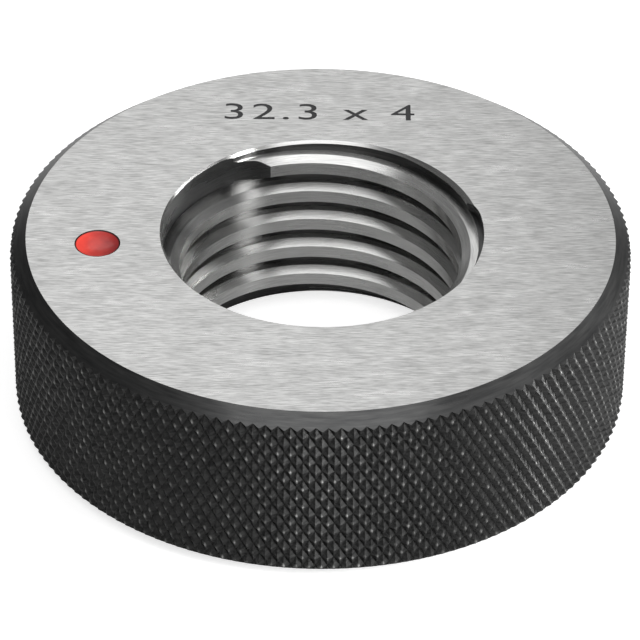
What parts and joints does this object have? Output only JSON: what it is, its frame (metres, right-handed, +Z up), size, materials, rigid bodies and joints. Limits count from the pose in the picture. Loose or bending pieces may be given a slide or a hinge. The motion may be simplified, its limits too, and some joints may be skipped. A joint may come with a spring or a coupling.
{
  "type": "thread ring gauge",
  "caption": "Knurled steel ring gauge with a helical internal NO-GO thread, lapped faces, chamfered rims, blunt thread ends and a red mark.",
  "frame": {"origin": "middle of the lower lapped face, on the bore axis", "axes": "+Z up the bore axis towards the marked face; -X points at the red mark's side"},
  "size_m": [0.071, 0.071, 0.022],
  "materials": {
    "gauge_steel": "black oxide with lapped faces and a ground thread",
    "red_enamel": "gloss enamel"
  },
  "bodies": {
    "root": {"ring_body": "gauge_steel", "red_enamel": "red_enamel"}
  },
  "joints": []
}
